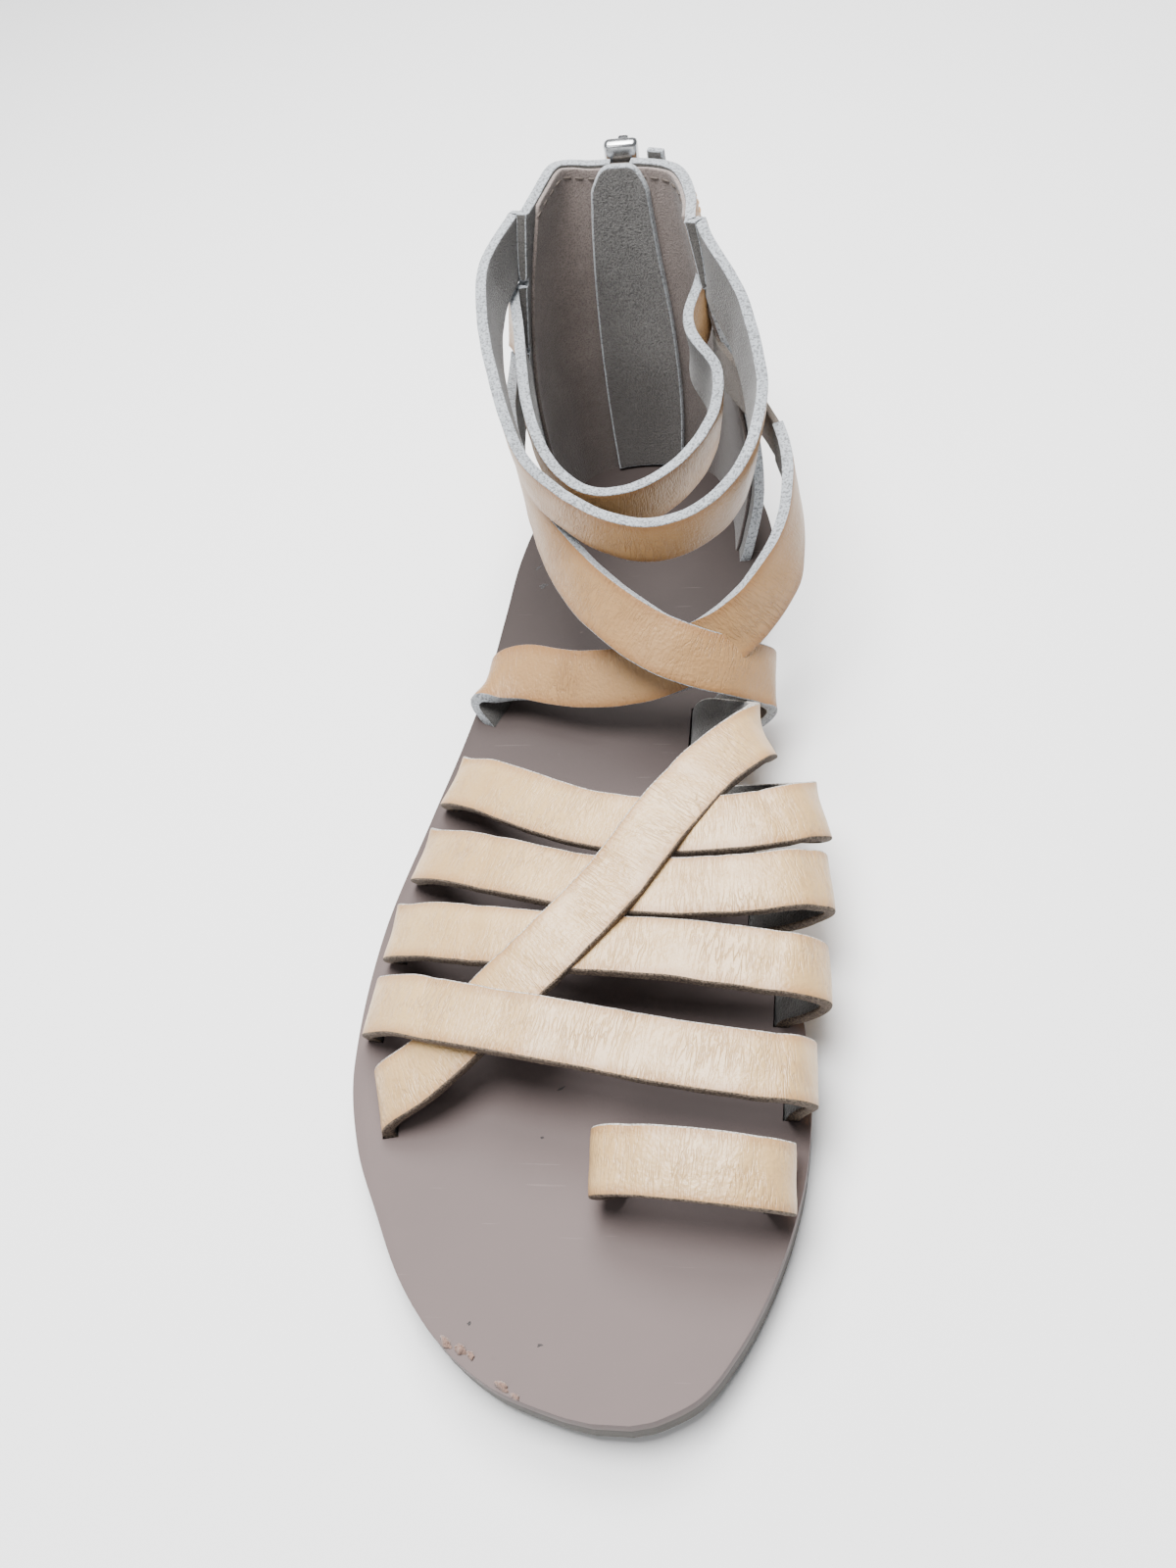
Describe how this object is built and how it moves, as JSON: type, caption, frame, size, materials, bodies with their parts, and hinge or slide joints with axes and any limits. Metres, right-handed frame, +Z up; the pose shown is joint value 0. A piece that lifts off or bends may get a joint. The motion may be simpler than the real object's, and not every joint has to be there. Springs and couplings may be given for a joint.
{
  "type": "gladiator sandal",
  "caption": "Flat gladiator sandal for the right foot, with crossing leather straps, a toe loop, a closed heel and a back zip.",
  "frame": {"origin": "on the floor under the centre of the sandal's box", "axes": "+Z up from the floor, -Y towards the toe, +Y towards the heel, +X towards the inner (medial) side of the right foot"},
  "size_m": [0.0956, 0.2626, 0.0932],
  "materials": {
    "leather": "smooth waxed tan leather, satin",
    "suede": "rough flesh side, matt",
    "footbed": "smooth coated leather, satin",
    "sole": "matt sheet rubber",
    "webbing": "ribbed elastic and zip tape",
    "nickel": "bright nickel plate"
  },
  "bodies": {
    "shoe": {"outsole": "sole", "footbed": "footbed", "toe_loop": "leather", "vamp_straps": "leather", "instep_straps": "leather", "ankle_strap_outer": "leather", "ankle_strap_inner": "leather", "elastic_tab": "webbing", "quarter_lateral": "leather", "quarter_medial": "leather", "zip_tape": "webbing", "zip_teeth": "nickel", "zip_guard": "suede", "zip_end_tab": "leather", "zip_slider": "nickel"},
    "pull_tab": {"zip_pull_tab": "nickel"}
  },
  "joints": [
    {"name": "pull_tab_hinge", "type": "hinge", "parent": "shoe", "child": "pull_tab", "pos_m": [0.0011, 0.12885, 0.0876], "axis": [1, 0, 0], "range_deg": [0, 165]}
  ]
}
